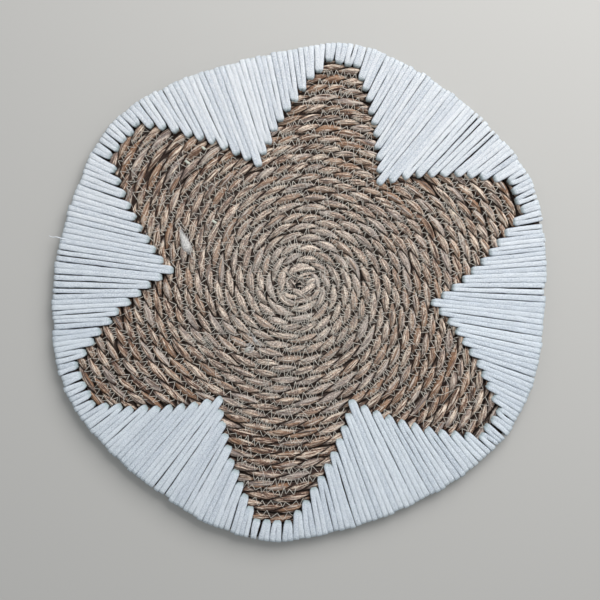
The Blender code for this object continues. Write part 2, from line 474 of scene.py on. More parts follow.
def range_node(tree, value, low, high, new_low, new_high):
    """Map a value from one range to another, held inside it."""
    node = tree.nodes.new("ShaderNodeMapRange")
    node.inputs["From Min"].default_value = low
    node.inputs["From Max"].default_value = high
    node.inputs["To Min"].default_value = new_low
    node.inputs["To Max"].default_value = new_high
    tree.links.new(value, node.inputs["Value"])
    return node.outputs["Result"]


def mix_node(tree, factor, first, second):
    """Mix two colours, each a socket or a colour."""
    node = tree.nodes.new("ShaderNodeMix")
    node.data_type = "RGBA"
    sockets = [socket for socket in node.inputs if socket.type == "RGBA"]
    for socket, value in zip(sockets, (first, second)):
        if isinstance(value, bpy.types.NodeSocket):
            tree.links.new(value, socket)
        else:
            socket.default_value = (*value, 1.0)
    tree.links.new(factor, node.inputs["Factor"])
    return next(socket for socket in node.outputs if socket.type == "RGBA")


def seagrass_material(settings):
    """Dry seagrass blades: streaks along each ply, each lump its own tone, and painted shade
    where the rope lies deep.
    """
    material, tree = new_material("seagrass_blades", 0.72, 0.25)
    straight = attribute_node(tree, "straight", "Vector")
    tone = attribute_node(tree, "tone", "Fac")
    tint = attribute_node(tree, "tint", "Fac")
    # The depth attribute carries painted shade: low where the rope lies deep
    depth = attribute_node(tree, "depth", "Fac")
    blades = noise_node(tree, straight, (35.0, 520.0, 520.0), 2.0)
    grain = noise_node(tree, straight, (110.0, 1000.0, 1000.0), 2.0)
    place = place_node(tree)
    specks = noise_node(tree, place, 900.0, 2.0)
    distance = tree.nodes.new("ShaderNodeVectorMath")
    distance.operation = "LENGTH"
    tree.links.new(place, distance.inputs[0])
    distance = distance.outputs["Value"]

    level = sum_node(tree, (0.55, tone), (1.0, blades), (4.6, grain))
    flaky = range_node(tree, distance, 0.120, 0.030, 0.9, 4.0)
    flakes = math_node(tree, "MULTIPLY", math_node(tree, "SUBTRACT", specks, 0.5), flaky)
    level = math_node(tree, "SUBTRACT", level, flakes)
    level = range_node(tree, level, 2.44, 3.42, 0.0, 1.0)
    stops = ((0.0, settings.dark), (0.36, settings.mid), (0.66, settings.pale), (1.0, STRAW))
    colour = ramp_node(tree, level, stops)
    grey = range_node(tree, tint, 0.64, 0.95, 0.0, 0.62)
    colour = mix_node(tree, grey, colour, GREY)
    rust = range_node(tree, tint, 0.30, 0.06, 0.0, 0.72)
    colour = mix_node(tree, rust, colour, RUST)
    split = noise_node(tree, straight, (22.0, 330.0, 330.0), 1.0)
    split = math_node(tree, "ABSOLUTE", math_node(tree, "SUBTRACT", split, 0.5), 0.0)
    split = range_node(tree, split, 0.0, 0.035, 0.85, 0.0)
    colour = mix_node(tree, split, colour, SPLIT)
    marks = range_node(tree, specks, 0.56, 0.62, 0.0, 0.22)
    marks = math_node(tree, "MULTIPLY", marks, flaky)
    colour = mix_node(tree, marks, colour, SPLIT)
    bleached = range_node(tree, distance, 0.115, 0.015, 0.0, 0.34)
    colour = mix_node(tree, bleached, colour, BLEACHED)
    # Painted shade: the rope darkens where it lies deep, in creases, under the cord and under
    # the heart
    crevice_shade = range_node(tree, depth, 0.30, 0.64, 0.97, 0.0)
    colour = mix_node(tree, crevice_shade, colour, CREVICE_SHADE)
    return finish_material(material, colour, [(blades, 0.0009, 0.7), (grain, 0.0009, 1.0)])


def cotton_material(settings):
    """Soft white cotton cord: faint streaks along it and fine fibre, painted shade at its ends
    and between cords, and painted bluish light further down.
    """
    material, tree = new_material("cotton_cord", 0.92, 0.12, 0.15)
    tone = attribute_node(tree, "tone", "Fac")
    end = attribute_node(tree, "shade", "Fac")
    straight = attribute_node(tree, "straight", "Vector")
    streaks = noise_node(tree, straight, (60.0, 900.0, 900.0), 2.0)
    place = place_node(tree)
    fluff = noise_node(tree, place, 1300.0, 2.0)
    soft = noise_node(tree, place, 240.0, 3.0)

    level = sum_node(tree, (0.3, tone), (2.4, streaks), (0.4, soft), (2.0, fluff))
    level = range_node(tree, level, 2.10, 2.72, 0.80, 0.0)
    parts = tree.nodes.new("ShaderNodeSeparateXYZ")
    tree.links.new(place, parts.inputs["Vector"])
    # Painted light: the cord turns bluer further down the mat
    painted_blue_light = range_node(tree, parts.outputs["Y"], 0.12, -0.03, 0.0, 1.0)
    colour = mix_node(tree, painted_blue_light, settings.colour, settings.painted_blue_light)
    colour = mix_node(tree, level, colour, settings.shade)
    # Painted shade where the cord leaves its hole and turns down at the rim
    colour = mix_node(tree, end, colour, CORD_END_SHADE)
    # Painted shade in the grooves between cords, uneven along them
    groove = attribute_node(tree, "groove", "Fac")
    uneven = range_node(tree, soft, 0.38, 0.62, 0.10, 0.66)
    groove = math_node(tree, "MULTIPLY", groove, uneven)
    colour = mix_node(tree, groove, colour, CORD_GROOVE_SHADE)
    layers = [(streaks, 0.00144, 0.7), (fluff, 0.0005, 0.7)]
    return finish_material(material, colour, layers)


def thread_material(name, base, spread, scale=160.0):
    """Thin pale thread or fibre, a little darker here and there."""
    material, tree = new_material(name, 0.8, 0.2)
    place = place_node(tree)
    patches = noise_node(tree, place, scale, 3.0)
    share = range_node(tree, patches, 0.35, 0.65, 0.0, spread)
    colour = mix_node(tree, share, base, tuple(0.45 * channel for channel in base))
    twist = noise_node(tree, place, 3000.0, 1.0)
    return finish_material(material, colour, [(twist, 0.0001, 0.4)])


def floor_material(base):
    """Plain pale floor with a trace of unevenness."""
    material, tree = new_material("pale_floor", 0.95, 0.05)
    patches = noise_node(tree, place_node(tree), 3.0, 2.0)
    share = range_node(tree, patches, 0.3, 0.7, 0.0, 0.06)
    colour = mix_node(tree, share, base, tuple(0.9 * channel for channel in base))
    return finish_material(material, colour)


# Shapes


# The section of a tube; a squareness of 2 is an ellipse, and more is squarer.
Section = namedtuple("Section", "half_width half_height sides squareness", defaults=[2.0])


def section_object(section):
    """Make the closed outline that is swept along a curve."""
    curve = bpy.data.curves.new("section", "CURVE")
    curve.dimensions = "2D"
    spline = curve.splines.new("POLY")
    spline.points.add(section.sides - 1)
    power = 2 / section.squareness
    for index, point in enumerate(spline.points):
        angle = -FULL_TURN * index / section.sides
        x = np.sign(np.cos(angle)) * abs(np.cos(angle)) ** power
        y = np.sign(np.sin(angle)) * abs(np.sin(angle)) ** power
        point.co = (section.half_width * x, section.half_height * y, 0.0, 1.0)
    spline.use_cyclic_u = True
    return bpy.data.objects.new("section", curve)


def add_spline(curve, points, radii=None, tilts=None):
    """Add one open run of straight pieces to a curve."""
    points = np.asarray(points, dtype=np.float32)
    spline = curve.splines.new("POLY")
    spline.points.add(len(points) - 1)
    weights = np.ones((len(points), 1), dtype=np.float32)
    spline.points.foreach_set("co", np.hstack((points, weights)).ravel())
    if radii is not None:
        spline.points.foreach_set("radius", np.asarray(radii, dtype=np.float32))
    if tilts is not None:
        spline.points.foreach_set("tilt", np.asarray(tilts, dtype=np.float32))


def sweep(lines, section=None, radius=0.0):
    """Sweep a section, or else a thin round one, along lines into one open mesh.

    A line has its points, and may have a radius and a tilt for each of them.
    """
    curve = bpy.data.curves.new("sweep", "CURVE")
    for line in lines:
        add_spline(curve, *line)
    curve.dimensions = "3D"
    curve.twist_mode = "Z_UP"
    if section:
        curve.bevel_mode = "OBJECT"
        curve.bevel_object = section_object(section)
    else:
        curve.bevel_depth = radius
        curve.bevel_resolution = 0
    holder = bpy.data.objects.new("sweep", curve)
    bpy.context.scene.collection.objects.link(holder)
    depsgraph = bpy.context.evaluated_depsgraph_get()
    mesh = bpy.data.meshes.new_from_object(holder.evaluated_get(depsgraph))
    bpy.data.objects.remove(holder)
    if section:
        bpy.data.objects.remove(curve.bevel_object)
    bpy.data.curves.remove(curve)
    return mesh


def mesh_points(mesh):
    """Copy out the points of a mesh, one row for each."""
    points = np.empty(len(mesh.vertices) * 3, dtype=np.float32)
    mesh.vertices.foreach_get("co", points)
    return points.reshape(-1, 3)


def set_values(mesh, **values):
    """Store values for the points of a mesh: numbers, or rows of three numbers."""
    for name, numbers in values.items():
        numbers = np.asarray(numbers, dtype=np.float32)
        kind, field = ("FLOAT_VECTOR", "vector") if numbers.ndim > 1 else ("FLOAT", "value")
        attribute = mesh.attributes.new(name, kind, "POINT")
        attribute.data.foreach_set(field, numbers.ravel())


def add_piece(name, mesh, material, nodes=()):
    """Close a mesh's tubes and put it in the scene: it rides on the body."""
    shape = bmesh.new()
    shape.from_mesh(mesh)
    bmesh.ops.holes_fill(shape, edges=[edge for edge in shape.edges if edge.is_boundary])
    bmesh.ops.recalc_face_normals(shape, faces=shape.faces)
    shape.to_mesh(mesh)
    shape.free()
    mesh.name = name
    mesh.materials.clear()
    mesh.materials.append(material)
    mesh.shade_smooth()
    piece = bpy.data.objects.new(name, mesh)
    bpy.context.scene.collection.objects.link(piece)
    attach(piece, "root")
    if nodes:
        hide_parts(*nodes)
    return piece


def smooth_route(points, step):
    """Give even points along a rounded line through a few rough ones."""
    points = np.array(points)
    lengths = line_lengths(points)
    distances = np.linspace(0.0, lengths[-1], max(5, round(lengths[-1] / step)))
    route = line_points(distances, lengths, points)
    for _ in range(3):
        route[1:-1] = (route[:-2] + 2 * route[1:-1] + route[2:]) / 4
    return distances, route


# The rope

# The loose blades: how many lie on each lump, their section, how far they stray
# along it and lean to its side, how far they lie out and reach, and how many of
# a ply's points they leave free at either end
BLADES_ON_TOP = 2
BLADES_UNDER = 1
BLADE_SIDES = 6
BLADE_STATIONS = 6
BLADE_HALF_WIDTH = 0.0010
BLADE_HALF_HEIGHT = 0.00045
BLADE_STRAY = 0.0014
BLADE_LEAN = 0.75
BLADE_LIFT = 1.04
BLADE_REACHES = (0.0045, 0.0078)
BLADE_SIZES = (0.6, 1.25)
BLADE_TEXTURE_STEP = 0.0026
BLADE_FREE_ENDS = 20
# The heart of the coil: its blades' section, and the round of painted shade on the rope
# beneath it
HEART_SIDES = 12
HEART_SECTION = Section(0.001, 0.00062, HEART_SIDES)
HEART_STEP = 0.0011
HEART_MIDDLE = (0.0014, 0.0041)
HEART_RADIUS = 0.0145
HEART_FADE = 0.003
HEART_SHADE = 0.36
# The plies: points along one twist and round the ply, how far they lie from the
# rope's middle as a share of their depth, and how fast their blades turn
PLY_STATIONS = 12
PLY_SIDES = 14
PLY_OFFSET = 0.80
PLY_SPIN = 210.0
# Where the streaks of a ply are read: how far from its middle line, and how far
# one ply's streaks lie from the other's
STREAK_RADIUS = 0.0025
STREAK_SHIFT = 50.0
# The change of tone for each metre: the rope grows paler to the right, and darker
# downwards from a little below the middle, a painted shade where less light falls
TONE_RISE = 0.8
SHADE_FALL = 2.8
SHADE_START = 0.03
# How the rope and its plies stray: the spacing of the changes, and their size
SWAY = (0.03, 0.0003)
RISE = (0.05, 0.0002)
LAY_WANDER = (0.09, 0.24)
TWIST_WANDER = (0.05, 0.7)
TONE_WANDER = (0.11, 0.20)
RIDGE_WANDER = (0.02, 2.0)
RIDGE_SIZE_WANDER = (0.012, 0.7)
SWELL_SPACING = 0.009
# The blades that show in a ply, as waves round it: how many, and how high
RIDGES = ((3, 0.05), (5, 0.05), (7, 0.05))
# The core: its points along the rope, its section as shares of the rope's thickness
# and of a ply's depth, and its tone, tint and depth, whose low depth paints it in deep shade
CORE_STEP = 0.004
CORE_SIDES = 8
CORE_WIDTH = 0.56
CORE_HEIGHT = 0.6
CORE_VALUES = {"tone": 0.3, "tint": 0.5, "depth": 0.32}
CORE_TEXTURE_STEP = 0.0022
# Where the rope starts and ends in turns, and how it thins at its start
START_TURN = -0.38
END_TURN = 23.86
TAPER = 0.012
START_SHARE = 0.35
# The twist is slacker in two places: how far out they start, over what distance
# it changes there, and by how much
SLACK_BELOW = (0.08, 0.03)
SLACK_CORNER = (0.13, 0.04)
SLACK = 0.30


def rope_path(step):
    """Give the rope's middle line from its inner to its outer end, at even steps.

    Returns the distances, the points, and how full the rope is, which tapers
    where the last turn runs out against the rim.
    """
    count = np.linspace(START_TURN, END_TURN, SPIRAL_POINTS)
    turn = np.where(count <= ROPE_TURNS - 1, count + 0.5, (count + ROPE_TURNS) / 2)
    full = np.clip(ROPE_TURNS - count, 0.25, 1.0)
    line = np.stack(coil_point(turn, count * FULL_TURN), axis=1)
    lengths = line_lengths(line)
    distances = np.arange(0.0, lengths[-1], step)
    points = line_points(distances, lengths, line)
    return distances, points, np.interp(distances, lengths, full)


def outward_normals(points):
    """Give the sideways direction at each point of a path, outwards from the coil."""
    along = line_directions(points)
    return np.stack((along[:, 1], -along[:, 0]), axis=1)


def tone_and_shade_drift(x, y):
    """Tell how much paler the rope is at a place: more to the right, and darker below with
    painted shade.
    """
    return TONE_RISE * x + SHADE_FALL * np.minimum(y + SHADE_START, 0.0)


def lump_values(rng, twist):
    """Give each stretch between two crossings of the plies its own random value."""
    lump = np.floor(twist / pi).astype(int)
    lump -= lump.min()
    return rng.uniform(0.0, 1.0, lump.max() + 1)[lump]


def blade_ridges(rng, distances, angles):
    """Give each point of a ply's sections its share of the plain radius."""
    spun = angles[None, :] + (distances * PLY_SPIN)[:, None]
    share = np.ones_like(spun)
    for waves, size in RIDGES:
        drift = wander(rng, distances, *RIDGE_WANDER)
        strength = size * (1 + wander(rng, distances, *RIDGE_SIZE_WANDER))
        share += strength[:, None] * np.cos(waves * spun + drift[:, None])
    return share


def slackness(points):
    """Tell how much longer one twist of the rope is, upper left and at the bottom."""
    x, y = points.T
    bottom = np.clip((-y - SLACK_BELOW[0]) / SLACK_BELOW[1], 0.0, 1.0)
    upper_left = np.clip((y - x - SLACK_CORNER[0]) / SLACK_CORNER[1], 0.0, 1.0)
    return 1 + SLACK * np.maximum(bottom, upper_left)


def ply_line(number, settings):
    """Give a ply's distances, middle line, outward directions, twist and fullness."""
    shared = np.random.default_rng(7)
    distances, points, full = rope_path(settings.lay / PLY_STATIONS)
    outward = outward_normals(points)
    sway = wander(shared, distances, *SWAY)
    rise = wander(shared, distances, *RISE)
    lay = settings.lay * (1 + wander(shared, distances, *LAY_WANDER)) * slackness(points)
    twist = FULL_TURN * np.cumsum(np.gradient(distances) / lay)
    twist += wander(shared, distances, *TWIST_WANDER) + number * pi
    offset = settings.ply_depth * PLY_OFFSET * full
    sideways = (sway + offset * np.cos(twist))[:, None] * outward
    height = MIDDLE_HEIGHT + rise + offset * np.sin(twist)
    route = np.column_stack((points + sideways, height))
    return distances, route, outward, twist, full


def build_ply(number, settings, material):
    """Build one of the rope's two plies: a lens-shaped strand twisted round it."""
    rng = np.random.default_rng(40 + number)
    distances, route, _, twist, full = ply_line(number, settings)
    start = np.clip(distances / TAPER, START_SHARE, 1.0)
    swell = 1 + wander(rng, distances, SWELL_SPACING, settings.unevenness)
    swell *= 0.90 + 0.16 * np.abs(np.sin(twist))
    section = Section(settings.ply_depth, settings.ply_width, PLY_SIDES)
    mesh = sweep([(route, full * start * swell, -twist)], section)

    corner = -FULL_TURN * np.arange(PLY_SIDES) / PLY_SIDES
    rings = mesh_points(mesh).reshape(len(distances), PLY_SIDES, 3)
    middles = rings.mean(axis=1, keepdims=True)
    shares = blade_ridges(rng, distances, corner)[:, :, None]
    rings = middles + (rings - middles) * shares
    mesh.vertices.foreach_set("co", rings.astype(np.float32).ravel())
    # Painted shade: dark at mid height, on its inner side where the plies meet, under the cord
    # and under the heart
    height = 1.1 * np.abs(rings[:, :, 2] - MIDDLE_HEIGHT) / (ROPE_THICKNESS / 2)
    facing = 0.76 * (1 + np.cos(corner))[None, :]
    unshaded_share = outside_cord_shade(rings[:, :, 0], rings[:, :, 1])
    from_start = np.linalg.norm(rings[:, :, :2] - HEART_MIDDLE, axis=2)
    unshaded_share *= np.clip((from_start - HEART_RADIUS) / HEART_FADE + 1.0, HEART_SHADE, 1.0)
    depth = np.minimum(height, facing) * unshaded_share

    # The streaks turn with the blades, and each lump has its own tone and tint
    spin = np.repeat(distances * PLY_SPIN, PLY_SIDES) + np.tile(corner, len(distances))
    along = np.repeat(distances + number * STREAK_SHIFT, PLY_SIDES)
    straight = (along, STREAK_RADIUS * np.cos(spin), STREAK_RADIUS * np.sin(spin))
    tone = lump_values(rng, twist) * 0.75 + 0.125
    tone += wander(rng, distances, *TONE_WANDER) + tone_and_shade_drift(*route[:, :2].T) - 0.04
    set_values(
        mesh,
        straight=np.column_stack(straight),
        tone=np.repeat(tone, PLY_SIDES),
        tint=np.repeat(lump_values(rng, twist), PLY_SIDES),
        depth=depth.ravel(),
    )
    return add_piece(f"rope_ply_{number + 1}", mesh, material, ["seagrass_coil"])


def blade_route(line, settings, start, lean, reach):
    """Give the run of one loose blade over a lump, and how it leans at each point."""
    distances, route, outward, twist, _ = line
    places = np.linspace(start - reach, start + reach, BLADE_STATIONS)
    middle = line_points(places, distances, route)
    side = line_points(places, distances, outward)
    turned = np.interp(places, distances, twist)
    corner = lean - (places - start) * PLY_SPIN
    radial = BLADE_LIFT * settings.ply_depth * np.cos(corner)
    ahead = BLADE_LIFT * settings.ply_width * np.sin(corner)
    across = radial * np.cos(turned) - ahead * np.sin(turned)
    up = radial * np.sin(turned) + ahead * np.cos(turned)
    points = np.column_stack((middle[:, :2] + across[:, None] * side, middle[:, 2] + up))
    return points, turned + corner


def build_loose_blades(settings, material):
    """Lay loose blades over the lumps of both plies, each along the rope."""
    rng = np.random.default_rng(53)
    blades = []
    values = []
    for number in range(2):
        line = ply_line(number, settings)
        distances, twist = line[0], line[3]
        first, last = twist[BLADE_FREE_ENDS], twist[-BLADE_FREE_ENDS]
        for lump in np.arange(np.ceil(first / pi), last / pi):
            top = lump % 2 == 0
            facing = pi / 2 if top else -pi / 2
            for _ in range(BLADES_ON_TOP if top else BLADES_UNDER):
                start = np.interp(lump * pi + pi / 2, twist, distances)
                start += rng.normal(0.0, BLADE_STRAY)
                lean = rng.uniform(-BLADE_LEAN, BLADE_LEAN)
                reach = rng.uniform(*BLADE_REACHES)
                points, leans = blade_route(line, settings, start, lean, reach)
                share = np.linspace(0.0, 1.0, BLADE_STATIONS)
                size = rng.uniform(*BLADE_SIZES)
                radii = size * (0.25 + 0.75 * np.sin(pi * share) ** 0.6)
                blades.append((points, radii, facing - leans))
                tone, tint = rng.uniform(0.05, 1.05), rng.uniform()
                tone += tone_and_shade_drift(*points[0, :2])
                values.append((rng.uniform(100.0, 900.0), size, tone, tint))
    mesh = sweep(blades, Section(BLADE_HALF_WIDTH, BLADE_HALF_HEIGHT, BLADE_SIDES))

    values = np.repeat(values, BLADE_STATIONS * BLADE_SIDES, axis=0)
    offset, size, tone, tint = values.T
    ring, side = np.divmod(np.arange(len(values)), BLADE_SIDES)
    corner = FULL_TURN * side / BLADE_SIDES
    width = BLADE_HALF_WIDTH * size * np.cos(corner)
    along = offset + ring * BLADE_TEXTURE_STEP
    straight = np.column_stack((along, width, np.zeros(len(width))))
    x, y, _ = mesh_points(mesh).T
    # Painted shade towards the blade's sides and under the cord
    edge = 1.0 - 0.58 * np.abs(np.cos(corner)) ** 3
    depth = edge * outside_cord_shade(x, y)
    set_values(mesh, straight=straight, tone=tone, tint=tint, depth=depth)
    return add_piece("loose_blades", mesh, material)


def build_core(settings, material):
    """Build the flattened inside of the rope, which closes the gaps between turns."""
    distances, points, full = rope_path(CORE_STEP)
    route = np.column_stack((points, np.full(len(points), MIDDLE_HEIGHT)))
    half_width = ROPE_THICKNESS * CORE_WIDTH
    section = Section(half_width, settings.ply_depth * CORE_HEIGHT, CORE_SIDES)
    mesh = sweep([(route, full)], section)
    ring, side = np.divmod(np.arange(len(mesh.vertices)), CORE_SIDES)
    straight = np.column_stack((distances[ring], side * CORE_TEXTURE_STEP, 0.0 * side))
    # Its depth value paints the core in deep shade
    plain = {name: np.full(len(ring), value) for name, value in CORE_VALUES.items()}
    set_values(mesh, straight=straight, **plain)
    return add_piece("rope_core", mesh, material, ["seagrass_coil"])


# Where the rope starts, its blades are bent into a hook and tucked together. Each
# has a half width, a tone and a tint, then its line: x, y and height in
# millimetres from the middle of the coil and the middle of the rope.
Blade = namedtuple("Blade", "half_width tone tint line")
HEART = (
    Blade(2.6, 0.60, 0.50, (
        (-1.8, -7.8, 2.2), (2.4, -5.0, 3.1), (7.2, -1.8, 3.2), (11.8, 1.2, 2.2))),
    Blade(1.9, 0.90, 0.62, (
        (3.6, 0.4, 1.9), (6.6, 2.4, 3.0), (10.0, 3.8, 3.1), (14.0, 4.6, 2.0))),
    Blade(1.9, 0.45, 0.20, (
        (-13.4, -5.4, 2.0), (-10.6, -8.2, 3.2), (-6.4, -9.4, 3.3), (-1.8, -8.8, 2.2))),
    Blade(2.2, 0.85, 0.60, (
        (-6.4, -3.8, 2.0), (-3.2, -5.0, 3.2), (0.2, -6.6, 3.3), (3.0, -9.4, 1.8))),
    Blade(1.8, 0.35, 0.15, (
        (7.6, -11.8, 1.8), (10.8, -8.6, 3.0), (13.4, -4.8, 3.0), (14.6, -1.6, 1.8))),
    Blade(2.0, 0.62, 0.50, (
        (-4.4, -12.6, 1.8), (0.2, -12.4, 3.0), (4.8, -11.6, 3.1), (9.0, -9.2, 1.9))),
    Blade(1.2, 0.45, 0.25, (
        (-3.6, 1.6, 1.8), (-2.0, 5.4, 3.4), (3.2, 8.2, 3.9), (10.9, 9.0, 3.0))),
    Blade(0.7, 0.15, 0.10, (
        (-1.8, 1.6, 1.6), (0.6, 4.4, 2.8), (5.2, 6.0, 3.0), (10.4, 6.2, 2.4))),
    Blade(0.9, 0.95, 0.60, (
        (-12.9, -9.0, 2.4), (-14.6, -5.6, 3.2), (-13.7, -1.6, 3.8),
        (-11.9, 3.0, 4.1), (-9.4, 5.6, 3.6))),
    Blade(1.5, 1.05, 0.75, (
        (-10.2, 3.8, 2.2), (-10.0, 0.0, 3.5), (-8.6, -2.8, 3.4), (-5.0, -4.6, 2.2))),
    Blade(0.6, 0.95, 0.55, (
        (-8.4, 4.8, 3.7), (-6.2, 2.6, 4.2), (-4.6, -0.6, 3.9), (-3.4, 1.4, 4.0))),
    Blade(1.9, 0.80, 0.42, (
        (-8.7, 7.6, 2.0), (-4.7, 11.0, 3.4), (1.5, 12.6, 3.6),
        (7.6, 12.8, 3.3), (11.0, 11.6, 2.0))),
    Blade(0.5, 1.10, 0.60, (
        (-2.4, -1.1, 2.8), (0.4, -0.9, 3.5), (2.8, -1.4, 2.8))),
    Blade(0.35, 1.10, 0.55, (
        (-2.4, 1.4, 3.2), (-0.5, 3.0, 3.7), (1.2, 1.4, 3.6), (2.8, -0.4, 3.3))),
    Blade(0.35, 1.10, 0.45, (
        (-14.1, 12.9, 3.9), (-10.2, 9.8, 4.6), (-6.4, 7.6, 4.7), (-2.7, 5.5, 4.0))),
    Blade(0.30, 1.10, 0.45, (
        (-0.6, -4.4, 3.6), (3.6, -8.4, 4.4), (8.6, -13.4, 4.4), (11.4, -16.0, 3.6))),
    Blade(0.30, 1.10, 0.45, (
        (2.0, -10.4, 4.2), (5.6, -6.8, 4.5), (9.4, -3.0, 4.3), (12.0, -0.6, 3.6))),
)


def build_heart(material):
    """Build the hooked start of the rope in the middle of the mat."""
    centre = np.array((*coil_point(0.0, 0.0), MIDDLE_HEIGHT))
    turn = FULL_TURN * np.arange(HEART_SIDES) / HEART_SIDES
    blades = []
    values = []
    for number, blade in enumerate(HEART):
        line = centre + np.array(blade.line) / 1000
        distances, route = smooth_route(line, HEART_STEP)
        bulge = np.abs(np.sin(pi * distances / distances[-1])) ** 0.45
        radii = blade.half_width * (0.30 + 0.70 * bulge)
        blades.append((route, radii))
        for distance, radius in zip(distances, radii):
            for side, up in zip(np.cos(turn), np.sin(turn)):
                across = (radius * side / 1000, radius * up / 1000)
                # Painted shade towards the blade's sides
                rim = 1.0 - 0.72 * abs(side) ** 2.5
                values.append((number + distance, *across, blade.tone - 0.2, blade.tint, rim))
    mesh = sweep(blades, HEART_SECTION)
    values = np.array(values)
    tone, tint, depth = values.T[3:]
    set_values(mesh, straight=values[:, :3], tone=tone, tint=tint, depth=depth)
    return add_piece("rope_heart", mesh, material)


class PLACEMAT_OT_rope(bpy.types.Operator):
    """Wind the two-ply seagrass rope into the coiled base"""

    bl_idname = "placemat.rope"
    bl_label = "Coiled rope"

    def execute(self, context):
        settings = context.scene.placemat_rope
        material = seagrass_material(settings)
        for number in range(2):
            build_ply(number, settings, material)
        build_core(settings, material)
        build_loose_blades(settings, material)
        build_heart(material)
        return {"FINISHED"}


# The cotton cord over the rim

# A cord's section, and how unevenly it lies
CORD_SIDES = 12
CORD_SECTION = Section(CORD_THICKNESS / 2, 1.0, CORD_SIDES, 2.8)
CORD_WOBBLE = 0.00009
# How much of a cord has painted shade at the rim, is rounded off at the hole, and lies
# close to the other cord of its pair
RIM_SHADE_BAND = 0.0050
LOBE_LENGTH = 0.0028
PAIR_REACH = 0.010
# The room added to a wide gap, in millimetres, and the width in metres from which
# a gap lies between two pairs
GAP_EASE = 0.5
PAIR_GAP = 0.0018
# Where a stitch leaves its hole, then how far from the hole it lies flat, how far
# from the rim it starts to bend, how far apart its points are and how far they sink
HOLE_LINE = [(0.0008, 0.0006), (0.0006, 0.0026), (0.0007, 0.0038), (0.0014, 0.0046)]
SETTLED = 0.0026
BEND_START = 0.0036
STITCH_STEP = 0.009
SINKING = 0.00022
# How far in a pair's hole may lie, how far a pair stands out at the rim, and how far
# a cord strays there, at either end, and sideways
HOLE_RANGE = (-0.0014, 0.0002)
PROUD_RANGE = (-0.0008, 0.0007)
RIM_STRAY = 0.00015
END_STRAY = 0.0004
BOW = 0.00026
# How full the cords are, and how they overlap at the hole and at the rim
FULL_RANGE = (1.02, 1.12)
HOLE_OVERLAP = 1.08
RIM_OVERLAP = 1.05
# The gaps that stand open between stitches: the angle at the rim, in degrees, and
# the width there, in millimetres.
WIDE_GAPS = (
    (15.3, 2.4), (16.7, 0.5), (20.8, 1.0), (22.1, 0.6), (27.1, 0.5), (32.3, 0.4),
    (38.5, 0.6), (39.6, 0.6), (42.5, 0.8), (43.9, 0.8), (45.2, 0.5), (74.5, 0.9),
    (77.4, 0.5), (124.6, 0.5), (130.8, 0.5), (143.9, 0.8), (170.7, 0.5),
    (172.0, 0.6), (173.5, 1.0), (176.6, 0.8), (178.1, 0.5), (179.8, 0.5),
    (181.1, 0.9), (185.2, 0.5), (188.1, 0.4), (200.1, 0.6), (233.6, 0.6),
    (236.6, 0.4), (253.8, 0.9), (258.5, 1.0), (260.2, 0.7), (316.0, 0.5),
    (321.3, 0.6), (324.2, 1.1), (339.2, 0.5), (358.4, 0.6), (0.0, 0.7), (6.7, 0.4),
)


def stitch_route(length, rng):
    """Give one stitch's line in its own plane: out along the top and round the rim.

    The first number of a point is the distance from the hole, and the second is
    the height. It starts and ends inside the hole.
    """
    half = CORD_THICKNESS / 2
    top = TOTAL_THICKNESS / 2 - half
    bend_start = length - BEND_START
    count = max(2, int((bend_start - SETTLED) / STITCH_STEP) + 2)
    run = np.linspace(SETTLED, bend_start, count)
    bumps = rng.uniform(-SINKING, 0.0, count)
    flat = [(x, top + bump) for x, bump in zip(run, bumps)]
    bend = [
        (length - 0.0022, top - 0.0004),
        (length - 0.0013, top - 0.0014),
        (length - half, top - 0.0029),
    ]
    upper = HOLE_LINE + flat + bend
    lower = [(x, -height) for x, height in reversed(upper)]
    return np.array(upper + [(length - half, 0.0)] + lower)


def cord_places(pairs):
    """Give the rim angle and the room of each cord, even between the wide gaps."""
    first, last = pairs[0].start.rim, pairs[-1].end.rim
    ends = [pair.start.rim for pair in pairs] + [last]
    marks = []
    for angle, width in WIDE_GAPS:
        turned = first + (radians(angle) - first) % FULL_TURN
        if turned < last:
            marks.append((turned, (width + GAP_EASE) / 2000 / MEAN_RIM))
    marks = [(first, 0.0), *sorted(marks), (last, 0.0)]
    before = []
    for angle, half_width in marks:
        pairs_before = np.interp(angle, ends, range(len(ends)))
        between_pairs = 2 * half_width * MEAN_RIM > PAIR_GAP
        before.append(2 * round(pairs_before) if between_pairs else round(2 * pairs_before))
    places = []
    rooms = []
    for low, high, count in zip(marks, marks[1:], np.diff(before)):
        cords = np.linspace(low[0] + low[1], high[0] - high[1], count + 1)
        places.extend((cords[1:] + cords[:-1]) / 2)
        rooms.extend(np.diff(cords))
    return places, rooms


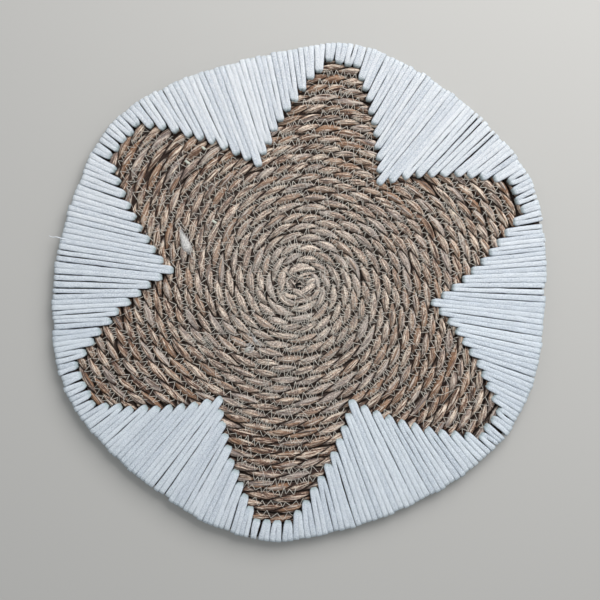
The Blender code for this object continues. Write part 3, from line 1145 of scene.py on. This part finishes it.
def stitch_mesh(start, rim, widths, bow, side, rng):
    """Build one stitch from its hole to the rim and back, in place.

    The side tells where the other cord of its pair lies.
    """
    reach = Vector(rim) - Vector(start)
    length = reach.length
    route = stitch_route(length, rng)
    route = np.column_stack((route, np.zeros(len(route))))
    mesh = sweep([(route,)], CORD_SECTION)
    points = mesh_points(mesh)

    # Painted shade: dark where it leaves its hole, where it turns down at the rim, more so on
    # the lower side of the mat, and in the groove where it meets the next
    straight = points + (rng.uniform(0.0, 90.0), 0.0, 0.0)
    tone = np.full(len(points), rng.uniform())
    hole = 0.9 * np.clip(1 - (points[:, 0] + 0.0004) / 0.0032, 0.0, 1.0)
    turned = np.clip((points[:, 0] - length) / RIM_SHADE_BAND + 1, 0.0, 1.0) ** 2
    # The painted rim shade is stronger on the lower side of the mat, away from the lamp
    turned *= 0.46 - 0.18 * reach.y / length
    shade = np.maximum(hole, turned)
    # Painted shade in the groove beside each cord, faint towards the other cord of its pair
    groove_shade = np.clip((np.abs(points[:, 2]) - 0.66) / 0.28, 0.0, 1.0)
    paired = points[:, 2] * side > 0
    near = np.clip(1 - points[:, 0] / min(PAIR_REACH, 0.4 * length), 0.0, 1.0)
    groove_shade *= np.where(paired, 0.55 - 0.40 * near, 1.0)
    set_values(mesh, straight=straight, tone=tone, shade=shade, groove=groove_shade)

    # It widens to the rim, bows a little, and its outer corner is round at the hole
    share = np.clip(points[:, 0] / length, 0.0, 1.0)
    tip = np.clip(1 - (points[:, 0] - 0.0004) / LOBE_LENGTH, 0.0, 1.0)
    lobe = np.where(paired, 0.92 + 0.30 * near, 0.30 + 0.70 * np.sqrt(1 - tip**2))
    points[:, 2] *= (widths[0] + (widths[1] - widths[0]) * share) * lobe
    points[:, 2] += bow * np.sin(pi * share)
    ring = np.arange(len(points)) // CORD_SIDES
    points[:, 2] += rng.normal(0.0, CORD_WOBBLE, ring[-1] + 1)[ring]
    mesh.vertices.foreach_set("co", points.ravel())
    direction = reach.normalized()
    across = Vector((direction.y, -direction.x, 0.0))
    matrix = Matrix(
        (
            (direction.x, 0.0, across.x, start[0]),
            (direction.y, 0.0, across.y, start[1]),
            (0.0, 1.0, 0.0, MIDDLE_HEIGHT),
            (0.0, 0.0, 0.0, 1.0),
        )
    )
    mesh.transform(matrix)
    return mesh


def build_edging(number, pairs, settings, material):
    """Build one wedge of stitches as a single piece."""
    rng = np.random.default_rng(200 + number)
    shape = bmesh.new()
    places, rooms = cord_places(pairs)
    for index, pair in enumerate(pairs):
        reach = pair.reach + rng.uniform(*HOLE_RANGE)
        rim = rim_radius((pair.start.rim + pair.end.rim) / 2)
        inner_angles = edge_angle(pair.start, reach), edge_angle(pair.end, reach)
        middle = sum(inner_angles) / 2
        room = (inner_angles[1] - inner_angles[0]) * reach
        held = min(room, PAIR_WIDTH) * 0.97
        proud = rng.uniform(*PROUD_RANGE)
        for side in (-1, 1):
            inner = middle + side * held / 4 / reach
            cord = 2 * index + (side > 0)
            outer = places[cord] + rng.uniform(-RIM_STRAY, RIM_STRAY) / rim
            start = plan_point(reach + rng.uniform(-END_STRAY, END_STRAY), inner)
            stray = rng.uniform(-END_STRAY, END_STRAY)
            end = plan_point(rim_radius(outer) + proud + stray, outer)
            loose = settings.fullness * rng.uniform(*FULL_RANGE)
            at_rim = rooms[cord] * rim / 2 * RIM_OVERLAP
            widths = (held / 4 * HOLE_OVERLAP * loose, at_rim * loose)
            bow = rng.normal(0.0, BOW)
            mesh = stitch_mesh(start, end, widths, bow, side, rng)
            shape.from_mesh(mesh)
            bpy.data.meshes.remove(mesh)
    mesh = bpy.data.meshes.new("edging")
    shape.to_mesh(mesh)
    shape.free()
    name = f"cord_stitches_{number}"
    return add_piece(name, mesh, material, [f"yarn_edging_{number}"])


class PLACEMAT_OT_edging(bpy.types.Operator):
    """Sew the white cotton cord over the rim, wedge by wedge"""

    bl_idname = "placemat.edging"
    bl_label = "Cord stitches"

    def execute(self, context):
        settings = context.scene.placemat_cord
        material = cotton_material(settings)
        for number, pairs in enumerate(PAIRS, start=1):
            build_edging(number, pairs, settings, material)
        return {"FINISHED"}


# The sewing thread

SEWN_TURNS = (0.8, 23.4)
SEW_MARGIN = 0.0012
# At each end of a stitch the thread dips: by how much, how far outwards, and how
# wide the hole is. The thread lies this far over the rope.
THREAD_DIP = 0.0013
DIP_OUTWARDS = 0.0003
HOLE_HALF = 0.0002
THREAD_LIFTS = (-0.0006, 0.0004)
# How much of the usual reach the stitches have, and how far out they are wider
REACH_RANGE = (0.45, 1.5)
WIDE_RADIUS = 0.05
# How the sewing strays: the spacing of the changes, and their size
STEP_WANDER = (0.09, 0.30)
CROWDING = (0.025, 1.0)
DRIFT = (0.02, 0.0007)
MISSED = (0.02, 1.0)
# Stitches crowd where the first curve is over this, and are missed where the
# second is under this
CROWDED_OVER = 0.93
MISSED_UNDER = -0.76
# The length of a step, and of a crowded one, as shares of the usual length
STEP_RANGE = (0.55, 1.45)
CROWDED_STEP = 0.4


def groove_path(spacing, rng):
    """Give uneven steps along the groove between the rope's turns."""
    count = np.linspace(*SEWN_TURNS, SPIRAL_POINTS)
    line = np.stack(coil_point(count, count * FULL_TURN), axis=1)
    lengths = line_lengths(line)
    even = np.arange(0.0, lengths[-1], spacing)
    steps = spacing * (1 + wander(rng, even, *STEP_WANDER))
    steps *= rng.uniform(*STEP_RANGE, len(even))
    crowded = wander(rng, even, *CROWDING) > CROWDED_OVER
    distances = np.cumsum(np.where(crowded, steps * CROWDED_STEP, steps))
    distances = distances[distances < lengths[-1]]
    return line_points(distances, lengths, line)


def zigzag_runs(settings, rng):
    """List the runs of zigzag where the rope is bare, as points and sides."""
    points = groove_path(settings.stitch / 2, rng)
    outward = outward_normals(points)
    side = np.where(np.arange(len(points)) % 2, 1.0, -1.0)
    reach = settings.reach * rng.uniform(*REACH_RANGE, len(points))
    reach *= 1 + 0.45 * np.clip(1.6 - np.hypot(*points.T) / WIDE_RADIUS, 0.0, 1.0)
    along = np.arange(len(points)) * settings.stitch / 2
    drift = wander(rng, along, *DRIFT)
    ends = points + (side * reach + drift)[:, None] * outward
    bare = star_edge(ends[:, 0], ends[:, 1]) > SEW_MARGIN
    bare &= wander(rng, along, *MISSED) > MISSED_UNDER
    runs = np.split(np.arange(len(points)), np.flatnonzero(np.diff(bare)) + 1)
    return [(ends[run], (side[:, None] * outward)[run]) for run in runs if bare[run[0]]]


def build_thread(name, face, settings, material):
    """Sew one face of the mat: a zigzag over each groove, dipping into the rope."""
    rng = np.random.default_rng(11 if face > 0 else 12)
    surface = ROPE_THICKNESS / 2
    runs = []
    for ends, sides in zigzag_runs(settings, rng):
        if len(ends) < 3:
            continue
        along = line_directions(ends)
        lift = surface + rng.uniform(*THREAD_LIFTS, len(ends))
        entry = np.column_stack((ends - along * HOLE_HALF, lift))
        dip = np.column_stack((ends + sides * DIP_OUTWARDS, lift - THREAD_DIP))
        leave = np.column_stack((ends + along * HOLE_HALF, lift))
        run = np.stack((entry, dip, leave), axis=1).reshape(-1, 3)[1:-1]
        run[:, 2] = MIDDLE_HEIGHT + face * run[:, 2]
        runs.append((run,))
    return add_piece(name, sweep(runs, radius=settings.radius), material)


class PLACEMAT_OT_sewing(bpy.types.Operator):
    """Sew the coil's turns together with a zigzag over each groove"""

    bl_idname = "placemat.sewing"
    bl_label = "Sewing thread"

    def execute(self, context):
        settings = context.scene.placemat_thread
        material = thread_material("sewing_thread", settings.colour, 0.6)
        build_thread("sewing_thread_top", 1, settings, material)
        build_thread("sewing_thread_under", -1, settings, material)
        return {"FINISHED"}


# Loose fibres

FIBRE_RADIUS = 0.00017
FIBRE_SHARES = np.array([0.6, 1.0, 1.0, 0.8, 0.4])
TUFT_RADIUS = 0.00022
TUFT_SHARES = (0.7, 1.0, 1.1, 1.1, 1.0, 0.6)
# How far out the fibres lie, how they crowd to the middle and keep off the cord
FIBRE_SPREAD = 0.19
FIBRE_CROWDING = 0.75
FIBRE_MARGIN = 0.006
SHORT_FIBRES = (0.004, 0.011)
LONG_FIBRES = (0.012, 0.022)
# Which fibres are long ones and which lie underneath, counted off
EVERY_LONG = 9
EVERY_UNDER = 4
ROPE_TOP = MIDDLE_HEIGHT + ROPE_THICKNESS / 2


def fibre_points(rng, x, y, length, heading):
    """Give a short bent fibre that lies on the rope."""
    steps = np.linspace(-0.5, 0.5, 5)
    bend = rng.uniform(-0.9, 0.9)
    angles = heading + bend * steps
    step = length / 4
    dx = np.concatenate(([0.0], np.cumsum(np.cos(angles[1:]) * step)))
    dy = np.concatenate(([0.0], np.cumsum(np.sin(angles[1:]) * step)))
    lift = ROPE_THICKNESS / 2 + rng.uniform(-0.0004, 0.0006)
    heights = lift + np.array([-0.0010, 0.0, 0.0004, 0.0003, rng.uniform(-0.001, 0.0012)])
    return np.column_stack((x + dx, y + dy, heights))


def build_fibres(settings, material):
    """Scatter loose fibres over both faces of the bare rope, most near the middle."""
    rng = np.random.default_rng(23)
    fibres = []
    while len(fibres) < settings.count:
        radius = FIBRE_SPREAD * rng.uniform() ** FIBRE_CROWDING
        angle = rng.uniform(0.0, FULL_TURN)
        x, y = plan_point(radius, angle)
        if star_edge(x, y) < FIBRE_MARGIN:
            continue
        heading = angle + pi / 2 + rng.normal(0.0, 0.9)
        lengths = SHORT_FIBRES if len(fibres) % EVERY_LONG else LONG_FIBRES
        points = fibre_points(rng, x, y, rng.uniform(*lengths), heading)
        face = 1 if len(fibres) % EVERY_UNDER else -1
        points[:, 2] = MIDDLE_HEIGHT + face * points[:, 2]
        fibres.append((points, rng.uniform(0.5, 1.0) * FIBRE_SHARES))
    mesh = sweep(fibres, radius=FIBRE_RADIUS)
    return add_piece("loose_fibres", mesh, material)


# Pale tufts on the upper face: x and y of the middle in millimetres, the heading
# in degrees, the length and width in millimetres, and the number of fibres.
TUFTS = (
    (-86.4, 38.8, -69, 18.0, 4.0, 46),
    (-38.4, -42.6, 20, 8.0, 6.0, 26),
    (-33.0, -37.0, -45, 9.0, 4.0, 22),
)
# The pale wad: where it runs from and to, and its thickness along the way
LUMP_START = (-0.0912, 0.0490)
LUMP_END = (-0.0842, 0.0302)
LUMP_SHARES = (0.22, 0.42, 0.50, 0.66, 0.74, 0.92, 1.00, 0.94, 0.60)
LUMP_SECTION = Section(0.0034, 0.0016, 10)
LEAF_SECTION = Section(0.00095, 0.00022, 8, 4.0)
# Flat bits of pale leaf: x and y in millimetres, the heading in degrees, and the
# length in millimetres.
LEAF_BITS = (
    (-72.9, 110.2, -40, 3.8),
    (-85.2, 99.4, -35, 4.6),
    (-64.9, 54.1, -33, 4.8),
    (-39.6, -44.2, 35, 3.4),
)
# The end of a cord that sticks out at the left of the rim
LOOSE_RADIUS = 0.00035
LOOSE_END = (
    (-0.1770, 0.0404, 0.0116),
    (-0.1812, 0.0412, 0.0121),
    (-0.1850, 0.0424, 0.0112),
    (-0.1880, 0.0420, 0.0092),
    (-0.1912, 0.0433, 0.0080),
)


def build_tufts(material):
    """Build the frayed tufts, each a bundle of fine fibres that lie nearly together."""
    rng = np.random.default_rng(29)
    fibres = []
    steps = np.linspace(-0.5, 0.5, len(TUFT_SHARES))
    for x, y, heading, length, width, count in TUFTS:
        ahead = np.array((np.cos(radians(heading)), np.sin(radians(heading))))
        side = np.array((-ahead[1], ahead[0]))
        for _ in range(count):
            angle = radians(heading) + rng.normal(0.0, 0.28)
            middle = np.array((x, y)) / 1000
            middle = middle + ahead * rng.normal(0.0, length / 4000)
            middle = middle + side * rng.normal(0.0, width / 4500)
            reach = rng.uniform(0.3, 0.6) * length / 1000
            bend = rng.uniform(-0.7, 0.7)
            dx = steps * reach * np.cos(angle) - bend * steps**2 * reach * np.sin(angle)
            dy = steps * reach * np.sin(angle) + bend * steps**2 * reach * np.cos(angle)
            rise = rng.uniform(0.0, 0.0011)
            rise = rise - 0.006 * np.abs(steps) ** 3 * rng.uniform(0.3, 1.0)
            route = np.column_stack((middle[0] + dx, middle[1] + dy, ROPE_TOP + rise))
            fibres.append((route, TUFT_SHARES))
    mesh = sweep(fibres, radius=TUFT_RADIUS)
    return add_piece("frayed_tufts", mesh, material)


def build_pale_lump(material):
    """Build the pale wad of worn blades, narrow at one end and blunt at the other."""
    steps = np.linspace(0.0, 1.0, len(LUMP_SHARES))[:, None]
    route = np.array(LUMP_START) + (np.array(LUMP_END) - np.array(LUMP_START)) * steps
    heights = ROPE_TOP + 0.0001 - 0.0022 * np.abs(2 * steps - 1) ** 4
    mesh = sweep([(np.hstack((route, heights)), LUMP_SHARES)], LUMP_SECTION)
    return add_piece("pale_lump", mesh, material)


def build_leaf_bits(material):
    """Build the few flat bits of pale leaf caught in the rope."""
    bits = []
    for x, y, heading, length in LEAF_BITS:
        steps = np.linspace(-0.5, 0.5, 4) * length / 1000
        dx = steps * np.cos(radians(heading))
        dy = steps * np.sin(radians(heading))
        heights = ROPE_TOP + np.array((-0.0004, 0.0004, 0.0006, 0.0))
        bits.append((np.column_stack((x / 1000 + dx, y / 1000 + dy, heights)),))
    mesh = sweep(bits, LEAF_SECTION)
    return add_piece("leaf_bits", mesh, material)


def build_loose_end(material):
    """Build the short end of cord that sticks out of the rim."""
    _, route = smooth_route(LOOSE_END, 0.0008)
    mesh = sweep([(route, np.linspace(1.2, 0.7, len(route)))], radius=LOOSE_RADIUS)
    return add_piece("loose_cord_end", mesh, material)


class PLACEMAT_OT_fibres(bpy.types.Operator):
    """Scatter the loose fibres, tufts and bits that stand out of the rope"""

    bl_idname = "placemat.fibres"
    bl_label = "Loose fibres"

    def execute(self, context):
        settings = context.scene.placemat_fibre
        build_fibres(settings, thread_material("loose_fibre", settings.colour, 0.7))
        build_tufts(thread_material("pale_tuft", (0.62, 0.60, 0.58), 0.75, 700.0))
        build_pale_lump(thread_material("pale_wad", (0.60, 0.585, 0.565), 0.75, 900.0))
        build_leaf_bits(thread_material("pale_leaf", (0.55, 0.57, 0.49), 0.4, 900.0))
        build_loose_end(thread_material("loose_cord", (0.80, 0.84, 0.88), 0.2))
        return {"FINISHED"}


# Floor, light and camera

# The camera's sensor in millimetres, the point that the camera looks down at, and
# the floor, the lamp and the colour of the light from all sides
SENSOR = 36.0
LOOK_AT = (0.0008, -0.0058)
FLOOR_HALF = 8.0
LAMP_PLACE = (0.50, 0.80, 0.85)
LAMP_SIZE = 0.9
ROOM_LIGHT = (0.93, 0.97, 1.0)


class PLACEMAT_OT_stage(bpy.types.Operator):
    """Set the plain floor, the soft light and the camera above the mat"""

    bl_idname = "placemat.stage"
    bl_label = "Stage"

    def execute(self, context):
        settings = context.scene.placemat_stage
        scene = context.scene
        shape = bmesh.new()
        bmesh.ops.create_grid(shape, x_segments=1, y_segments=1, size=FLOOR_HALF)
        mesh = bpy.data.meshes.new("floor")
        shape.to_mesh(mesh)
        shape.free()
        mesh.materials.append(floor_material(settings.floor))
        floor = bpy.data.objects.new("floor", mesh)
        scene.collection.objects.link(floor)

        lamp = bpy.data.lights.new("window_light", "AREA")
        lamp.shape = "SQUARE"
        lamp.size = LAMP_SIZE
        lamp.energy = settings.lamp_power
        holder = bpy.data.objects.new("window_light", lamp)
        holder.location = LAMP_PLACE
        holder.rotation_euler = (-holder.location).to_track_quat("-Z", "Y").to_euler()
        scene.collection.objects.link(holder)

        world = bpy.data.worlds.new("soft_room")
        world.use_nodes = True
        background = world.node_tree.nodes["Background"]
        background.inputs["Color"].default_value = (*ROOM_LIGHT, 1.0)
        background.inputs["Strength"].default_value = settings.fill_strength
        scene.world = world

        camera = bpy.data.cameras.new("camera")
        camera.sensor_width = SENSOR
        distance = settings.camera_height - MIDDLE_HEIGHT
        camera.lens = SENSOR * distance / settings.frame_width
        holder = bpy.data.objects.new("camera", camera)
        holder.location = (*LOOK_AT, settings.camera_height)
        scene.collection.objects.link(holder)
        scene.camera = holder
        scene.view_settings.view_transform = "Standard"
        return {"FINISHED"}


class PLACEMAT_PT_panel(bpy.types.Panel):
    """List the operators that build the mat"""

    bl_idname = "PLACEMAT_PT_panel"
    bl_label = "Placemat"
    bl_space_type = "VIEW_3D"
    bl_region_type = "UI"
    bl_category = "Placemat"

    def draw(self, context):
        for operator in OPERATORS:
            self.layout.operator(operator.bl_idname)


SETTINGS = (
    ("placemat_rope", RopeSettings),
    ("placemat_cord", CordSettings),
    ("placemat_thread", ThreadSettings),
    ("placemat_fibre", FibreSettings),
    ("placemat_stage", StageSettings),
)
OPERATORS = (
    PLACEMAT_OT_stage,
    PLACEMAT_OT_rope,
    PLACEMAT_OT_edging,
    PLACEMAT_OT_sewing,
    PLACEMAT_OT_fibres,
)


def register():
    """Register the settings, the operators and the panel."""
    for name, group in SETTINGS:
        bpy.utils.register_class(group)
        setattr(bpy.types.Scene, name, PointerProperty(type=group))
    for operator in OPERATORS:
        bpy.utils.register_class(operator)
    bpy.utils.register_class(PLACEMAT_PT_panel)


def unregister():
    """Take the panel, the operators and the settings away again."""
    bpy.utils.unregister_class(PLACEMAT_PT_panel)
    for operator in reversed(OPERATORS):
        bpy.utils.unregister_class(operator)
    for name, group in reversed(SETTINGS):
        delattr(bpy.types.Scene, name)
        bpy.utils.unregister_class(group)


def main():
    """Build the scene."""
    register()
    bpy.ops.placemat.stage()
    bpy.ops.placemat.rope()
    bpy.ops.placemat.edging()
    bpy.ops.placemat.sewing()
    bpy.ops.placemat.fibres()


if __name__ == "__main__":
    main()
